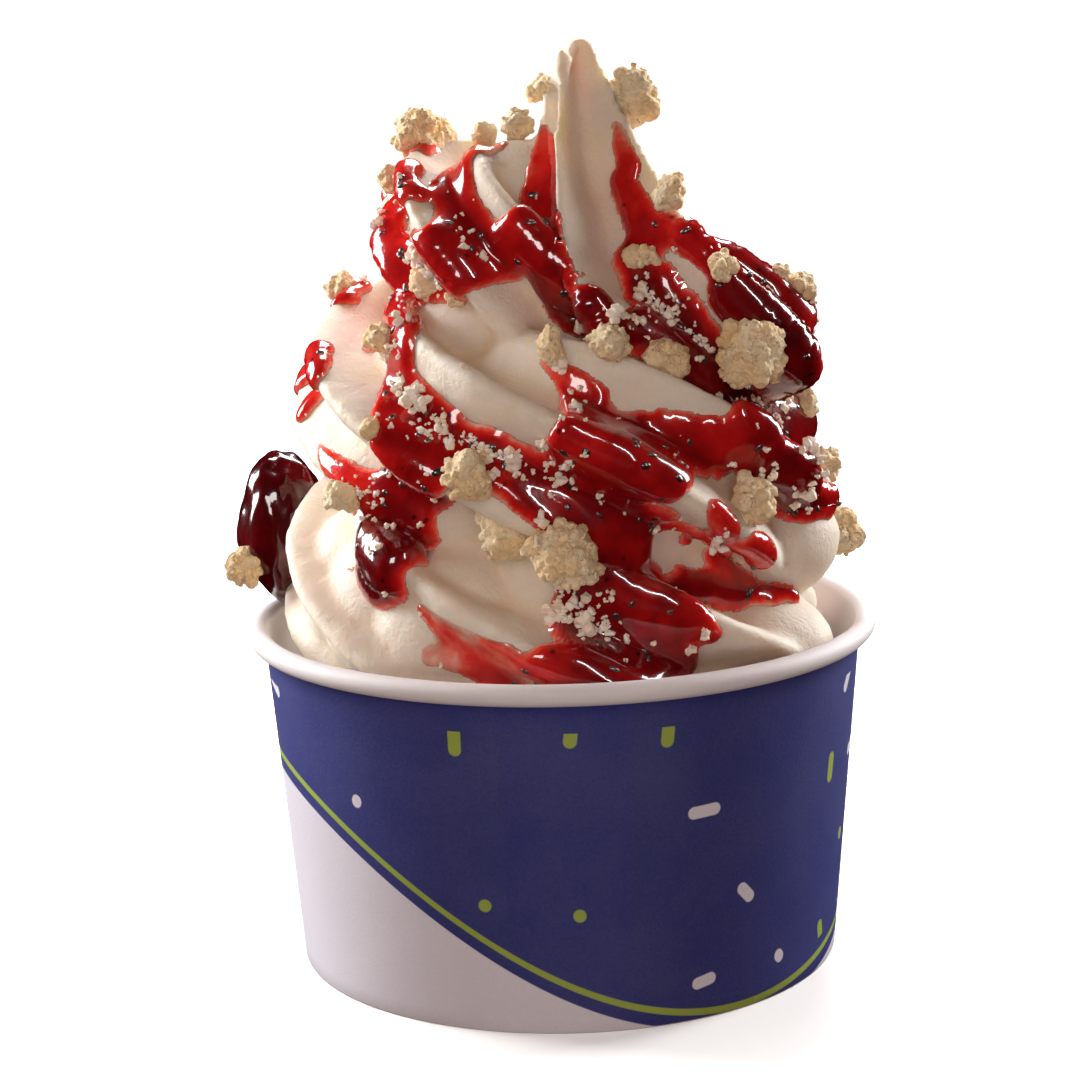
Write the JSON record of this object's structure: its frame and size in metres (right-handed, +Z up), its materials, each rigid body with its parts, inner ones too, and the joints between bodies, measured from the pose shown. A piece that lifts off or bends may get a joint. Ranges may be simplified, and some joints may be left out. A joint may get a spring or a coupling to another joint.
{
  "type": "frozen yogurt cup",
  "caption": "Paper tub filled with a piped frozen yogurt swirl under berry sauce and crumble.",
  "frame": {"origin": "middle of the foot, on the surface the tub stands on", "axes": "+Z up, -Y the front of the tub, +X to the right seen from the front"},
  "size_m": [0.0933, 0.092, 0.1331],
  "materials": {
    "printed_paper": "satin",
    "white_paper": "matte",
    "frozen_yogurt": "soft matte",
    "berry_sauce": "wet gloss",
    "crumble": "rough"
  },
  "bodies": {
    "root": {"cup_wall": "printed_paper", "cup_base": "white_paper", "frozen_yogurt": "frozen_yogurt", "sauce_lump": "berry_sauce", "crumb_front": "crumble", "crumb_front_left": "crumble", "crumb_right": "crumble", "crumb_peak": "crumble", "crumb_shoulder": "crumble", "crumb_rim": "crumble"}
  },
  "joints": []
}
